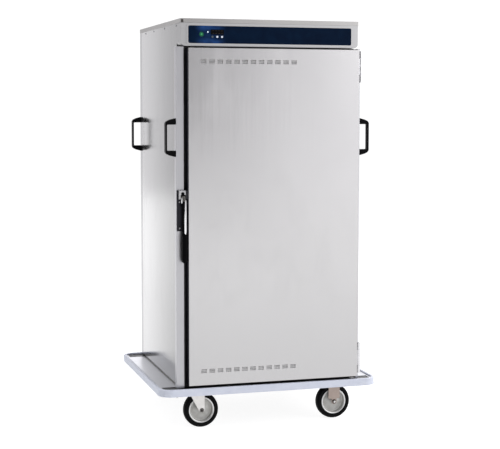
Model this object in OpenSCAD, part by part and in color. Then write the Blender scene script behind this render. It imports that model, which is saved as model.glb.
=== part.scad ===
// Mobile insulated cabinet for holding and proofing, on a bumper deck with four casters.
// The door opens toward -Y, +X is the hinge side and the floor is z = 0.

/* [Cabinet] */
// Width over the side panels
body_w = 778; // [740:1:820]
// Depth from the face of the door posts to the back panel
body_d = 818; // [780:1:840]
// Height of the cap above the floor
total_h = 1735; // [1680:1:1800]
// Thickness of the stainless sheet
sheet = 1.5; // [1:0.1:2]
// Thickness of the insulated side walls and floor
wall_t = 50; // [46:1:60]
// Thickness of the insulated back wall
back_t = 65; // [60:1:80]
// Height of the turned-down edge of the cap
cap_lip = 18; // [12:1:30]
// How far the cap and control housing stand in front of the posts
housing_proud = 17; // [8:1:24]
// Depth of the control housing, front to back
housing_d = 76; // [60:1:90]
// Height of the control housing below the cap
housing_h = 95; // [85:1:110]

/* [Door posts] */
// How far the posts stand out past the side panels
post_out = 18; // [16:1:24]
// Width of the post on the latch side
latch_post_w = 33; // [30:1:36]
// Width of the post on the hinge side
hinge_post_w = 12; // [10:1:13]
// Depth of the posts
post_d = 30; // [28:1:34]

/* [Door] */
// Thickness of the door without its seal
door_t = 49.5; // [46:0.5:52]
// How far the door front stands in front of the posts
door_proud = 29; // [24:1:32]
// Distance from the side of the cabinet in to the latch edge of the door
door_inset = 29; // [26:1:34]
// Height of the bottom edge of the door
door_z0 = 201; // [196:1:210]
// Gap between the door and the control housing
door_top_gap = 8; // [4:1:12]
// Number of vent groups in each row
vent_n = 12; // [4:1:14]
// Spacing of the vent groups
vent_pitch = 35.8; // [34:0.1:40]
// Width of one vent slot
vent_w = 24; // [16:1:26]
// Largest opening angle of the door
door_swing = 150; // [90:1:155]

/* [Controls] */
// Width of the dark control panel
panel_w = 716; // [600:1:730]
// Height of the dark control panel
panel_h = 72; // [60:1:78]
// Width of the raised rim round the panel
rim_w = 9; // [6:0.5:10]
// Travel of each push button
button_travel = 1.2; // [0.6:0.1:1.5]

/* [Shelves] */
// Number of wire shelves
shelf_n = 3; // [1:1:3]
// Number of ledges on each side rack
ledge_n = 11; // [11:1:11]
// Number of wires in one shelf
wire_n = 21; // [9:1:25]

/* [Handles] */
// Length of a handle along the cabinet side
handle_len = 162; // [140:1:180]
// How far a handle stands out
handle_out = 44; // [38:1:50]
// Width of the handle bar
handle_w = 25; // [20:1:26]
// Height of the middle of the handles
handle_z = 1243; // [1000:1:1400]

/* [Base] */
// Height of the deck above the floor
deck_top = 184; // [184:1:186]
// Width of the bumper
bumper_w = 972; // [950:1:1000]
// Depth of the bumper
bumper_d = 870; // [862:1:900]
// Height of the bumper band
bumper_h = 32; // [26:1:34]
// Thickness of the bumper band
bumper_t = 14; // [12:1:18]
// Corner radius of the bumper
bumper_r = 58; // [50:1:70]

/* [Casters] */
// Wheel diameter
wheel_d = 152; // [150:1:152]
// Tyre width
tyre_w = 38; // [32:1:40]
// Distance of the caster mounts from the middle, across the cabinet
caster_x = 315; // [290:1:330]
// Distance of the caster mounts from the middle, front to back
caster_y = 322; // [300:1:330]
// Distance of a swivel wheel from its swivel axis
trail = 29; // [28:1:34]

/* [Hidden] */
$fn = 48;
hw = body_w / 2;
post_x = hw + post_out;
y_face = -bumper_d / 2 + 40;
y_seat = y_face + post_d;
y_back = y_face + body_d;
y_front = y_face - housing_proud;
y_house = y_front + housing_d;
y_door = y_face - door_proud;
y_door_back = y_door + door_t;
shell_z0 = deck_top + 8;
post_z0 = deck_top + 2;
cap_z0 = total_h - cap_lip;
house_z0 = cap_z0 - housing_h;
roof_z = house_z0 - 10;
door_x0 = -hw + door_inset;
door_x1 = hw + 3;
door_z1 = house_z0 - door_top_gap;
cav_x = hw - wall_t;
cav_y1 = y_back - back_t;
cav_z0 = post_z0 + wall_t;
cav_z1 = roof_z - 34;
vent_x0 = -296;
vent_z = [cav_z0 + 25, cav_z1 - 20];
slot_h = 4;
slot_pitch = 6;
hinge_x = post_x - 3;
hinge_y = y_face - 13;
hinge_z = [215, 1478];
knuckle_r = 8;
knuckle_end = 31;
knuckle_mid = 68;
hinge_len = 2 * knuckle_end + knuckle_mid;
pin_r = 4;
fit_gap = 0.05;
latch_y = y_face - 16;
latch_z = 996;
latch_top = latch_z + 28;
strike_z = [853, latch_top];
grip_z = [714, 851];
panel_z = (house_z0 + cap_z0) / 2;
rack_z0 = cav_z0 + 22;
ledge_pitch = (cav_z1 - rack_z0 - 80) / (ledge_n - 1);
ledge_w = 14;
rod_r = 4;
wire_r = 2;
shelf_y = [y_seat + 47, cav_y1 - 26];
wheel_r = wheel_d / 2;
hub_r = 58;
leg_y = 21.5;
leg_t = 4;
axle_r = 6;
brake_r = 4;
plate_z = deck_top - 5;
brake_at = [-12, wheel_r + 71];

// ---------------------------------------------------------------- helpers

// A box from its lower and upper limits along each axis.
module block(x, y, z) {
    translate([x[0], y[0], z[0]]) cube([x[1] - x[0], y[1] - y[0], z[1] - z[0]]);
}

module both_sides() {
    children();
    mirror([1, 0, 0]) children();
}

module front_and_back() {
    children();
    mirror([0, 1, 0]) children();
}

// A flat rectangle with round corners, centred on the origin.
module rounded_rect(w, d, r) {
    square([w - 2 * r, d], center = true);
    square([w, d - 2 * r], center = true);
    for (x = [-1, 1], y = [-1, 1]) translate([x * (w / 2 - r), y * (d / 2 - r)]) circle(r);
}

// Extrudes an outline drawn in X and Z along Y, from y0 to y1.
module along_y(y0, y1) {
    translate([0, y1, 0]) rotate([90, 0, 0]) linear_extrude(y1 - y0) children();
}

module rod_x(r, x0, x1, y, z) {
    translate([x0, y, z]) rotate([0, 90, 0]) cylinder(r = r, h = x1 - x0);
}

module rod_y(r, y0, y1, x, z) {
    translate([x, y0, z]) rotate([-90, 0, 0]) cylinder(r = r, h = y1 - y0);
}

// A rectangular ring in X and Z, between outer and inner limits.
module ring_xz(x, z, w) {
    difference() {
        translate([x[0], z[0]]) square([x[1] - x[0], z[1] - z[0]]);
        translate([x[0] + w, z[0] + w]) square([x[1] - x[0] - 2 * w, z[1] - z[0] - 2 * w]);
    }
}

// ---------------------------------------------------------------- cabinet shell

module side_panel() {
    block([hw - sheet, hw], [y_seat, y_back - sheet], [shell_z0, house_z0 - 2]);
    block([hw - sheet, hw], [y_house, y_back - sheet], [house_z0 - 2, total_h - 10]);
}

module side_panel_left() {
    color("silver") mirror([1, 0, 0]) side_panel();
}

module side_panel_right() {
    color("silver") side_panel();
}

// The back sheet wraps round both rear corners.
module back_panel() {
    color("gainsboro") difference() {
        union() {
            block([-hw, hw], [y_back - sheet, y_back], [shell_z0, total_h - 10]);
            both_sides() block([hw, hw + sheet], [cav_y1, y_back], [shell_z0, cap_z0]);
        }
        rod_y(10, y_back - 10, y_back + 10, gland_x, gland_z);
    }
}

// A shallow pan set in from the sides, so the cabinet stands on a recessed foot.
module bottom_panel() {
    x = hw - 6;
    y = [y_seat + sheet, y_back - 8];
    color("darkgray") difference() {
        block([-x, x], y, [deck_top, shell_z0 + 1]);
        block([sheet - x, x - sheet], [y[0] + sheet, y[1] - sheet], [deck_top + 3, shell_z0 + 2]);
    }
}

// The cap is a shallow pan with a folding notch at its front left corner.
module top_cap() {
    over = 1.5;
    relief = 12;
    color("gray") difference() {
        block([-hw - over, hw + over], [y_front, y_back + over], [cap_z0 + 0.5, total_h]);
        block([sheet - hw - over, hw + over - sheet], [y_front + sheet, y_back + over - sheet],
            [cap_z0, total_h - sheet]);
        block([sheet - hw - over, relief - hw - over], [y_front - 1, y_front + 2], [cap_z0, total_h - 4]);
    }
}

// Outline of the control housing, square at the top and round at the lower corners.
module house_outline(inset) {
    r = 18;
    w = hw - inset;
    z0 = house_z0 + inset;
    z1 = cap_z0 - inset;
    translate([-w, z0 + r]) square([2 * w, z1 - z0 - r]);
    translate([-w + r, z0]) square([2 * (w - r), r + 1]);
    for (s = [-1, 1]) translate([s * (w - r), z0 + r]) circle(r);
}

module panel_opening(grow) {
    translate([0, panel_z]) rounded_rect(panel_w + 2 * grow, panel_h + 2 * grow, 6 + grow);
}

module control_housing() {
    color("lightgray") {
        along_y(y_front, y_front + sheet) difference() {
            house_outline(0);
            panel_opening(0.3);
        }
        along_y(y_front - sheet, y_front) difference() {
            panel_opening(rim_w);
            panel_opening(0.3);
        }
        along_y(y_front + sheet, y_house) difference() {
            house_outline(0);
            house_outline(sheet);
        }
        block([sheet - hw, hw - sheet], [y_house - sheet, y_back - sheet], [roof_z, roof_z + sheet]);
        block([sheet - hw, hw - sheet], [y_house - sheet, y_house], [roof_z, house_z0 + sheet]);
    }
}

// The latch post is broad. The hinge post is narrow, with a filler strip behind the door's edge.
module door_posts() {
    z = [post_z0, house_z0 - 2];
    color("lightgray") {
        block([-post_x, latch_post_w - post_x], [y_face, y_seat], z);
        block([post_x - hinge_post_w, post_x], [y_face, y_seat], z);
        block([hw - 2, post_x - hinge_post_w - 0.1], [y_seat - 6, y_seat], z);
    }
}

module throat_frame() {
    color("black") along_y(y_seat, y_seat + sheet) difference() {
        translate([sheet - hw, deck_top]) square([2 * (hw - sheet), house_z0 - 0.5 - deck_top]);
        translate([-cav_x, cav_z0]) square([2 * cav_x, cav_z1 - cav_z0]);
    }
}

module liner_wrap() {
    color("lightsteelblue") {
        both_sides() block([cav_x - sheet, cav_x], [y_seat + sheet, cav_y1], [cav_z0, cav_z1]);
        block([sheet + 0.1 - cav_x, cav_x - sheet - 0.1], [cav_y1 - sheet, cav_y1], [cav_z0, cav_z1]);
    }
}

module liner_ends() {
    color("lightsteelblue") {
        block([-cav_x, cav_x], [y_seat + sheet, cav_y1], [cav_z0 - sheet, cav_z0]);
        block([-cav_x, cav_x], [y_seat + sheet, cav_y1], [cav_z1, cav_z1 + sheet]);
    }
}

// Blankets fill the walls outside the heating cable.
module insulation() {
    gap = 6;
    y0 = y_seat + 2 * sheet;
    in_x = cav_x + gap;
    z0 = shell_z0 + 2;
    z1 = roof_z - 1;
    color("khaki") {
        both_sides() block([in_x, hw - 2], [y0, y_back - 2], [z0, z1]);
        block([0.5 - in_x, in_x - 0.5], [cav_y1 + gap, y_back - 2], [z0, z1]);
        block([0.5 - in_x, in_x - 0.5], [y0, cav_y1 + gap - 0.5], [z0, cav_z0 - sheet - 0.5]);
        block([0.5 - in_x, in_x - 0.5], [y0, cav_y1 + gap - 0.5], [cav_z1 + sheet + 0.5, z1]);
    }
}

// The cable runs round the liner in level loops, joined by risers at the front ends.
module heating_cable() {
    r = 2;
    off = 3;
    loops = 9;
    step = (cav_z1 - cav_z0 - 160) / (loops - 1);
    y0 = y_seat + 40;
    y1 = cav_y1 + off;
    x1 = cav_x + off;
    color("orangered") for (i = [0 : loops - 1]) {
        z = cav_z0 + 80 + i * step;
        side = i % 2 == 0 ? 1 : -1;
        both_sides() rod_y(r, y0, y1, x1, z);
        rod_x(r, -x1, x1, y1, z);
        for (s = [-1, 1]) translate([s * x1, y1, z]) sphere(r);
        for (s = [-1, 1]) translate([s * x1, y0, z]) sphere(r);
        if (i < loops - 1) translate([side * x1, y0, z]) cylinder(r = r, h = step);
    }
}

// Each rack is an upright sheet with ledges welded to it.
module side_racks() {
    x = cav_x - sheet - 1.2;
    y = [y_seat + 40, cav_y1 - 26];
    color("silver") both_sides() {
        block([x, x + 1], y, [rack_z0, rack_z0 + ledge_pitch * (ledge_n - 1) + 20]);
        for (i = [0 : ledge_n - 1]) {
            z = rack_z0 + 12 + i * ledge_pitch;
            block([x - ledge_w, x - 0.1], y, [z - 2, z]);
        }
    }
}

// ---------------------------------------------------------------- deck and base

rail_y = [y_front - 1, y_face + 48];
rail_x = bumper_w / 2 - 24;

module deck_plate() {
    color("silver") translate([0, 0, deck_top - 2]) linear_extrude(2) difference() {
        rounded_rect(bumper_w - 2 * bumper_t, bumper_d - 2 * bumper_t, bumper_r - bumper_t);
        for (s = [-1, 1]) translate([-rail_x, s * (rail_y[0] + rail_y[1]) / 2]) {
            translate([0, (rail_y[0] - rail_y[1]) / 2]) square([2 * rail_x, rail_y[1] - rail_y[0]]);
        }
    }
}

// Dark rails show through the long openings at the front and back of the deck.
module rail_outline(y0, y1) {
    front_and_back() intersection() {
        rounded_rect(bumper_w - 2 * bumper_t - 2, bumper_d - 2 * bumper_t - 2, bumper_r - bumper_t);
        translate([-rail_x, y0]) square([2 * rail_x, y1 - y0]);
    }
}

module base_rails() {
    color("black") {
        translate([0, 0, deck_top - 4.8]) linear_extrude(2.8) rail_outline(rail_y[0] - 4, rail_y[1] + 4);
        translate([0, 0, deck_top - 22]) linear_extrude(17.2) rail_outline(rail_y[0] - 4, rail_y[0] - 1);
    }
}

module caster_channels() {
    half = 58;
    color("dimgray") both_sides() {
        block([caster_x - half, caster_x + half], [-rail_far, rail_far], [plate_z, deck_top - 2]);
        for (x = [caster_x - half, caster_x + half - 3])
            block([x, x + 3], [-rail_far, rail_far], [deck_top - 20, plate_z]);
    }
}

module bumper() {
    color("lavender") translate([0, 0, deck_top + 6 - bumper_h]) linear_extrude(bumper_h) difference() {
        rounded_rect(bumper_w, bumper_d, bumper_r);
        rounded_rect(bumper_w - 2 * bumper_t, bumper_d - 2 * bumper_t, bumper_r - bumper_t);
    }
}

// ---------------------------------------------------------------- small fixed parts

gland_x = -300;
gland_z = roof_z + 60;
cover_x = 150;
cover_z = [roof_z + 20, cap_z0 - 12];
rail_far = -rail_y[1] - 5;

// A low round screw head on a short shank, pointing along +Z.
module screw() {
    cylinder(r = 4.5, h = 2.4);
    translate([0, 0, -6]) cylinder(r = 2, h = 6);
}

module body_screws() {
    color("whitesmoke") {
        for (x = [12 - cover_x, 0, cover_x - 12], z = [cover_z[0] + 8, cover_z[1] - 8])
            translate([x, y_back + sheet, z]) rotate([-90, 0, 0]) screw();
        both_sides() for (y = [y_front + 90, -100, 120, 300])
            translate([hw, y, cap_z0 - 8]) rotate([0, 90, 0]) screw();
    }
}

module service_cover() {
    color("silver") difference() {
        block([-cover_x, cover_x], [y_back, y_back + sheet], cover_z);
        for (x = [-90 : 20 : 90])
            block([x, x + 6], [y_back - 1, y_back + 3], [cover_z[0] + 22, cover_z[1] - 22]);
    }
}

// The gland passes through the back panel and holds the supply cord's bore.
module cord_gland() {
    color("dimgray") difference() {
        union() {
            rod_y(10, y_back - 12, y_back + 2, gland_x, gland_z);
            translate([gland_x, y_back, gland_z]) rotate([-90, 30, 0]) cylinder(r = 15, h = 4, $fn = 6);
            rod_y(11, y_back + 4, y_back + 11, gland_x, gland_z);
            translate([gland_x, y_back - sheet, gland_z]) rotate([90, 30, 0])
                cylinder(r = 15, h = 5, $fn = 6);
        }
        rod_y(5.5, y_back - 20, y_back + 20, gland_x, gland_z);
    }
}

module control_board() {
    y = y_front + 10;
    color("darkgreen") {
        block([-330, -190], [y, y + 1.6], [panel_z - 28, panel_z + 28]);
        block([-322, -198], [y + 1.6, y + 12], [panel_z - 20, panel_z + 4]);
        for (x = [-325, -195], z = [-23, 23]) rod_y(3, y_front + 2, y, x, panel_z + z);
    }
}

display_x = [-262, -206];
display_z = [panel_z, panel_z + 21];
lamp = [-275, panel_z + 11.5];
power_at = [-302, panel_z + 1];
button_x = [-255, -234.5, -214];
button_z = panel_z - 9;

module control_panel() {
    color("midnightblue") along_y(y_front - 1, y_front + 2) difference() {
        panel_opening(0);
        translate([display_x[0], display_z[0]])
            square([display_x[1] - display_x[0], display_z[1] - display_z[0]]);
        translate(lamp) circle(3.2);
        translate(power_at) circle(10.4);
        for (x = button_x) translate([x, button_z]) circle(4.6);
    }
}

module display_window() {
    color("black") {
        block(display_x, [y_front - 1.4, y_front + 6], display_z);
        rod_y(3.2, y_front - 1.4, y_front + 10, lamp[0], lamp[1]);
    }
}

// Handles have splayed legs and a straight bar.
module handle(base_x, y) {
    half = handle_len / 2;
    bar = 7;
    translate([base_x, 0, handle_z]) along_y(y - handle_w / 2, y + handle_w / 2) difference() {
        polygon([
            [0, -half], [handle_out * 0.6, 7 - half], [handle_out * 0.88, 13 - half],
            [handle_out, 20 - half], [handle_out, half - 20], [handle_out * 0.88, half - 13],
            [handle_out * 0.6, half - 7], [0, half]
        ]);
        translate([-1, 27 - half]) square([handle_out - bar + 1, handle_len - 54]);
    }
}

module handle_pair() {
    handle(post_x, y_face + 2 + handle_w / 2);
    handle(hw + sheet, y_back - 3 - handle_w / 2);
}

module handles_left() {
    color("black") mirror([1, 0, 0]) handle_pair();
}

module handles_right() {
    color("black") handle_pair();
}

// ---------------------------------------------------------------- hinges

module knuckle(z0, len, bore) {
    translate([hinge_x, hinge_y, z0]) difference() {
        cylinder(r = knuckle_r, h = len);
        translate([0, 0, -1]) cylinder(r = bore, h = len + 2);
    }
}

module hinge_leaves() {
    color("dimgray") for (z = hinge_z) {
        block([post_x - hinge_post_w + 0.5, post_x], [y_face - 3, y_face], [z, z + hinge_len]);
        for (k = [z, z + hinge_len - knuckle_end + 0.4]) {
            knuckle(k, knuckle_end - 0.4, pin_r);
            block([hinge_x - 2, hinge_x + 3], [hinge_y + knuckle_r - 1.5, y_face - 3],
                [k, k + knuckle_end - 0.4]);
        }
    }
}

module hinge_pins() {
    color("silver") for (z = hinge_z) translate([hinge_x, hinge_y, z - 2]) {
        cylinder(r = pin_r, h = hinge_len + 4);
        cylinder(r = pin_r + 2, h = 2);
    }
}

module hinge_straps() {
    color("whitesmoke") for (z = hinge_z) {
        span = [z + knuckle_end, z + knuckle_end + knuckle_mid];
        knuckle(span[0], knuckle_mid, pin_r + fit_gap);
        block([door_x1, door_x1 + 2], [y_door + 4, y_door + 30], span);
        block([door_x1 + 1, hinge_x - knuckle_r + 1.5], [hinge_y - 4, hinge_y], span);
    }
}

// ---------------------------------------------------------------- door

// Slots of one vent row, in X and Z.
module vent_row(z, w, rows, h) {
    for (i = [0 : vent_n - 1], j = [0 : rows - 1])
        translate([vent_x0 + i * vent_pitch - w / 2, z + (j - (rows - 1) / 2) * slot_pitch - h / 2])
            square([w, h]);
}

module door_skin() {
    back = y_door + 9;
    color("silver") {
        along_y(y_door, y_door + sheet) difference() {
            translate([door_x0, door_z0]) square([door_x1 - door_x0, door_z1 - door_z0]);
            for (z = vent_z) vent_row(z, vent_w, 3, slot_h);
        }
        along_y(y_door + sheet, back) ring_xz([door_x0, door_x1], [door_z0, door_z1], sheet);
    }
}

guide_x = [vent_x0 - 34, vent_x0 + 34 + (vent_n - 1) * vent_pitch];

// The inner pan of the door, with a lipped guide above and below each vent slide.
module door_liner() {
    color("silver") {
        along_y(y_door_back - sheet, y_door_back) difference() {
            translate([door_x0 + 6, door_z0 + 6]) square([door_x1 - door_x0 - 12, door_z1 - door_z0 - 12]);
            for (z = vent_z) vent_row(z, 16, 1, 16);
        }
        for (z = vent_z, s = [-1, 1]) {
            block(guide_x, [y_door_back, y_door_back + 3], [z + s * 19 - 1.5, z + s * 19 + 1.5]);
            block(guide_x, [y_door_back + 2, y_door_back + 3], [z + s * 17.5 - 2, z + s * 17.5 + 2]);
        }
    }
}

module door_insulation() {
    color("khaki") along_y(y_door + sheet + 0.5, y_door_back - sheet - 0.5) difference() {
        translate([door_x0 + 7, door_z0 + 7]) square([door_x1 - door_x0 - 14, door_z1 - door_z0 - 14]);
        for (z = vent_z) translate([vent_x0 - 18, z - 12]) square([36 + (vent_n - 1) * vent_pitch, 24]);
    }
}

// One black extrusion closes the edge of the door and carries the seal lip.
module door_gasket() {
    lip = 14;
    x_in = door_x0 + 8;
    x_out = door_x1 - 12;
    color("black") {
        along_y(y_door + 9, y_door_back) ring_xz([door_x0, door_x1], [door_z0, door_z1], 5.8);
        along_y(y_door_back, y_door_back + 1) ring_xz([door_x0, door_x1], [door_z0, door_z1], 24);
        along_y(y_door_back + 1, y_seat - 0.3) ring_xz([x_in, x_out], [door_z0 + 5, door_z1 - 5], lip);
    }
}

// A slotted cover plate that slides behind one row of vents.
module vent_slide(z) {
    y0 = y_door_back + 0.3;
    x = [vent_x0 - 20, vent_x0 + 20 + (vent_n - 1) * vent_pitch];
    color("gainsboro") {
        along_y(y0, y0 + 1.2) difference() {
            translate([x[0], z - 17]) square([x[1] - x[0], 34]);
            vent_row(z, 16, 1, 16);
        }
        block([x[1] - 9, x[1] - 3], [y0 + 1.2, y0 + 7], [z - 12, z + 12]);
    }
}

module vent_slide_top() {
    vent_slide(vent_z[1]);
}

module vent_slide_bottom() {
    vent_slide(vent_z[0]);
}

// ---------------------------------------------------------------- buttons

module button(at, r) {
    rod_y(r, y_front - 2.6, y_front + 4, at[0], at[1]);
    rod_y(r * 0.45, y_front + 4, y_front + 8.4, at[0], at[1]);
}

module power_button() {
    color("limegreen") button(power_at, 10);
}

module set_button() {
    color("white") button([button_x[0], button_z], 4.2);
}

module up_button() {
    color("white") button([button_x[1], button_z], 4.2);
}

module down_button() {
    color("white") button([button_x[2], button_z], 4.2);
}

// ---------------------------------------------------------------- latch

// A dark plate on the latch post, with the magnet bar that holds the door.
module strike_plate() {
    x = [2 - post_x, latch_post_w - post_x - 1];
    color("black") {
        block(x, [y_face - 3, y_face], strike_z);
        block([x[0] + 7, x[1] - 9], [y_face - 7, y_face - 3], [strike_z[0] + 27, strike_z[0] + 107]);
    }
}

ear_x = [7 - post_x, 13 - post_x];
far_ear_x = [35 - post_x, 41 - post_x];

// The head is screwed to the side of the door and reaches over the latch post.
module latch_head() {
    y = [latch_y - 8, latch_y + 8];
    color("whitesmoke") difference() {
        union() {
            block([ear_x[0], far_ear_x[1]], y, [latch_z + 10, latch_top]);
            for (x = [ear_x, far_ear_x]) block(x, y, [latch_z - 8, latch_top]);
            block([far_ear_x[0], door_x0], [y[0], y_face - 1], [latch_z - 8, latch_top]);
        }
        rod_x(3, ear_x[0] - 1, door_x0 - 2, latch_y, latch_z);
    }
}

module latch_pin() {
    color("silver") rod_x(3, ear_x[0], door_x0 - 2, latch_y, latch_z);
}

lever_x = [19 - post_x, 39 - post_x];

// The lever hangs from the pin and is pulled toward -Y.
module latch_lever() {
    barrel = [ear_x[1] + 0.4, far_ear_x[0] - 0.4];
    y = [latch_y - 8, latch_y];
    color("whitesmoke") difference() {
        union() {
            rod_x(8, barrel[0], barrel[1], latch_y, latch_z);
            block([lever_x[0], barrel[1]], y, [latch_z - 20, latch_z]);
            block(lever_x, y, [grip_z[1], latch_z - 13]);
            block([lever_x[0] + 4, lever_x[1] - 4], y, [grip_z[0] + 60, grip_z[1]]);
        }
        rod_x(3 + fit_gap, barrel[0] - 1, barrel[1] + 1, latch_y, latch_z);
    }
}

module latch_grip() {
    mid = (lever_x[0] + lever_x[1]) / 2 + 2;
    y = [latch_y - 17, latch_y + 7];
    color("black") difference() {
        union() {
            block([mid - 12, mid + 12], y, [grip_z[0] + 12, grip_z[1]]);
            rod_y(12, y[0], y[1], mid, grip_z[0] + 12);
        }
        block([lever_x[0] + 4, lever_x[1] - 4], [latch_y - 8, latch_y], [grip_z[0] + 60, grip_z[1] + 1]);
    }
}

// ---------------------------------------------------------------- shelves

function shelf_z(i) = rack_z0 + 12 + 3 * i * ledge_pitch;

// A square bar frame with wires from front to back, ending inside the cross bars.
module shelf(i) {
    z = [shelf_z(i) + 0.3, shelf_z(i) + 0.3 + 2 * rod_r];
    x = cav_x - sheet - 9;
    step = 2 * x / (wire_n + 1);
    color("silver") if (i <= shelf_n) {
        both_sides() block([x - rod_r, x + rod_r], shelf_y, z);
        for (y = [shelf_y[0], shelf_y[1] - 2 * rod_r]) block([-x, x], [y, y + 2 * rod_r], z);
        for (k = [1 : wire_n]) rod_y(wire_r, shelf_y[0] + rod_r, shelf_y[1] - rod_r, k * step - x, z[1] - 3);
    }
}

module shelf_1() {
    shelf(1);
}

module shelf_2() {
    shelf(2);
}

module shelf_3() {
    shelf(3);
}

// ---------------------------------------------------------------- casters

// Mounting plate with its four bolts, at the origin of the caster, top face at plate_z.
module mount_plate() {
    translate([-52, -45, plate_z - 5]) cube([104, 90, 5]);
    for (x = [-40, 40], y = [-33, 33]) translate([x, y, plate_z - 10]) cylinder(r = 6.5, h = 5, $fn = 6);
}

// The fixed half of a swivel caster, with the blind bore for the kingpin.
module swivel_plate() {
    difference() {
        union() {
            mount_plate();
            translate([0, 0, plate_z - 13]) cylinder(r = 30, h = 9);
        }
        translate([0, 0, plate_z - 14]) cylinder(r = axle_r + fit_gap, h = 11);
    }
}

module axle(x) {
    end = leg_y + leg_t;
    rod_y(axle_r, -end - 3, end + 3, x, wheel_r);
    for (s = [-1, 1]) translate([x, s * (end + 2.5), wheel_r]) rotate([90, 0, 0])
        cylinder(r = 8, h = 5, center = true, $fn = 6);
}

// Two fork legs from an outline in X and Z.
module legs() {
    for (y = [-leg_y - leg_t, leg_y]) along_y(y, y + leg_t) children();
}

module swivel_fork() {
    crown = plate_z - 13.5;
    translate([0, 0, crown - 6]) cylinder(r = 32, h = 6);
    translate([0, 0, crown]) cylinder(r = axle_r, h = 9);
    translate([-30, -leg_y - leg_t, crown - 6]) cube([trail + 42, 2 * (leg_y + leg_t), 2.5]);
    legs() difference() {
        union() {
            polygon([[-30, crown - 4], [trail - 16, wheel_r + 4], [trail - 10, wheel_r - 4],
                [trail + 10, wheel_r - 4], [trail + 12, wheel_r], [trail + 12, crown - 4]]);
            translate([trail, wheel_r]) circle(9.5);
        }
        translate(brake_at) circle(brake_r + fit_gap);
    }
    axle(trail);
}

module rigid_fork() {
    crown = plate_z - 18;
    mount_plate();
    translate([-26, -leg_y - leg_t, crown]) cube([52, 2 * (leg_y + leg_t), 14]);
    legs() {
        polygon([[-26, crown + 1], [-26, wheel_r + 13], [26, wheel_r + 13], [26, crown + 1]]);
        translate([-12, wheel_r]) square([24, 14]);
        translate([0, wheel_r]) circle(12);
    }
    axle(0);
}

module tyre() {
    half = tyre_w / 2;
    edge = 9;
    rotate([90, 0, 0]) rotate_extrude($fn = 96) {
        translate([hub_r, -half]) square([wheel_r - hub_r - edge, tyre_w]);
        translate([hub_r, edge - half]) square([wheel_r - hub_r, tyre_w - 2 * edge]);
        for (s = [-1, 1]) translate([wheel_r - edge, s * (half - edge)]) circle(edge);
    }
}

module hub() {
    boss = leg_y - 1;
    color("silver") rotate([90, 0, 0]) difference() {
        union() {
            cylinder(r = 15, h = 2 * boss, center = true);
            cylinder(r = hub_r - 2, h = 8, center = true);
            difference() {
                cylinder(r = hub_r, h = tyre_w - 2, center = true);
                cylinder(r = hub_r - 5, h = tyre_w, center = true);
            }
            for (a = [0 : 60 : 300]) rotate([0, 0, a]) translate([12, -2, -12]) cube([hub_r - 15, 4, 24]);
        }
        cylinder(r = axle_r + fit_gap, h = 2 * boss + 2, center = true);
    }
}

// A foot pedal on a cross pin, with a shoe that bears on the tyre while the pedal is down.
module brake() {
    run = [trail - brake_at[0], wheel_r - brake_at[1]];
    reach = norm(run) - wheel_r - 0.6;
    tilt = atan2(-run[0], -run[1]);
    translate([brake_at[0], 0, brake_at[1]]) {
        rotate([90, 0, 0]) cylinder(r = brake_r, h = 2 * (leg_y + leg_t + 2), center = true);
        rotate([0, tilt, 0]) translate([-9, -14, -reach]) cube([9.5, 28, reach]);
        rotate([0, -8, 0]) translate([-66, -19, -2]) cube([64, 38, 4]);
        rotate([0, -8, 0]) translate([-66, 0, 0]) rotate([90, 0, 0]) cylinder(r = 5, h = 42, center = true);
    }
}

// Places a swivel caster's piece at the left, in front (-1) or behind (+1).
module at_left(side) {
    translate([-caster_x, side * caster_y, 0]) children();
}

module at_right(side) {
    translate([caster_x, side * caster_y, 0]) children();
}

module caster_plates() {
    color("gainsboro") for (s = [-1, 1]) at_left(s) swivel_plate();
}

module rigid_forks() {
    color("gainsboro") for (s = [-1, 1]) at_right(s) rigid_fork();
}

module fl_fork() {
    color("whitesmoke") at_left(-1) swivel_fork();
}

module fl_tyre() {
    color("black") at_left(-1) translate([trail, 0, wheel_r]) tyre();
}

module fl_hub() {
    at_left(-1) translate([trail, 0, wheel_r]) hub();
}

module fl_brake() {
    color("dimgray") at_left(-1) brake();
}

module rl_fork() {
    color("whitesmoke") at_left(1) swivel_fork();
}

module rl_tyre() {
    color("black") at_left(1) translate([trail, 0, wheel_r]) tyre();
}

module rl_hub() {
    at_left(1) translate([trail, 0, wheel_r]) hub();
}

module rl_brake() {
    color("dimgray") at_left(1) brake();
}

module fr_tyre() {
    color("black") at_right(-1) translate([0, 0, wheel_r]) tyre();
}

module fr_hub() {
    at_right(-1) translate([0, 0, wheel_r]) hub();
}

module rr_tyre() {
    color("black") at_right(1) translate([0, 0, wheel_r]) tyre();
}

module rr_hub() {
    at_right(1) translate([0, 0, wheel_r]) hub();
}

// ---------------------------------------------------------------- assembly

side_panel_left();
side_panel_right();
back_panel();
bottom_panel();
top_cap();
control_housing();
door_posts();
throat_frame();
liner_wrap();
liner_ends();
insulation();
heating_cable();
side_racks();
deck_plate();
base_rails();
caster_channels();
bumper();
body_screws();
strike_plate();
cord_gland();
control_board();
service_cover();
control_panel();
display_window();
handles_left();
handles_right();
hinge_leaves();
hinge_pins();
caster_plates();
rigid_forks();
door_skin();
door_liner();
door_insulation();
door_gasket();
hinge_straps();
latch_head();
latch_pin();
vent_slide_top();
vent_slide_bottom();
power_button();
set_button();
up_button();
down_button();
latch_lever();
latch_grip();
shelf_1();
shelf_2();
shelf_3();
fl_fork();
fl_tyre();
fl_hub();
fl_brake();
rl_fork();
rl_tyre();
rl_hub();
rl_brake();
fr_tyre();
fr_hub();
rr_tyre();
rr_hub();
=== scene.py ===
"""Looks of the mobile holding and proofing cabinet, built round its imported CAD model."""

import math

import bmesh
import bpy
from mathutils import Matrix, Vector


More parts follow.
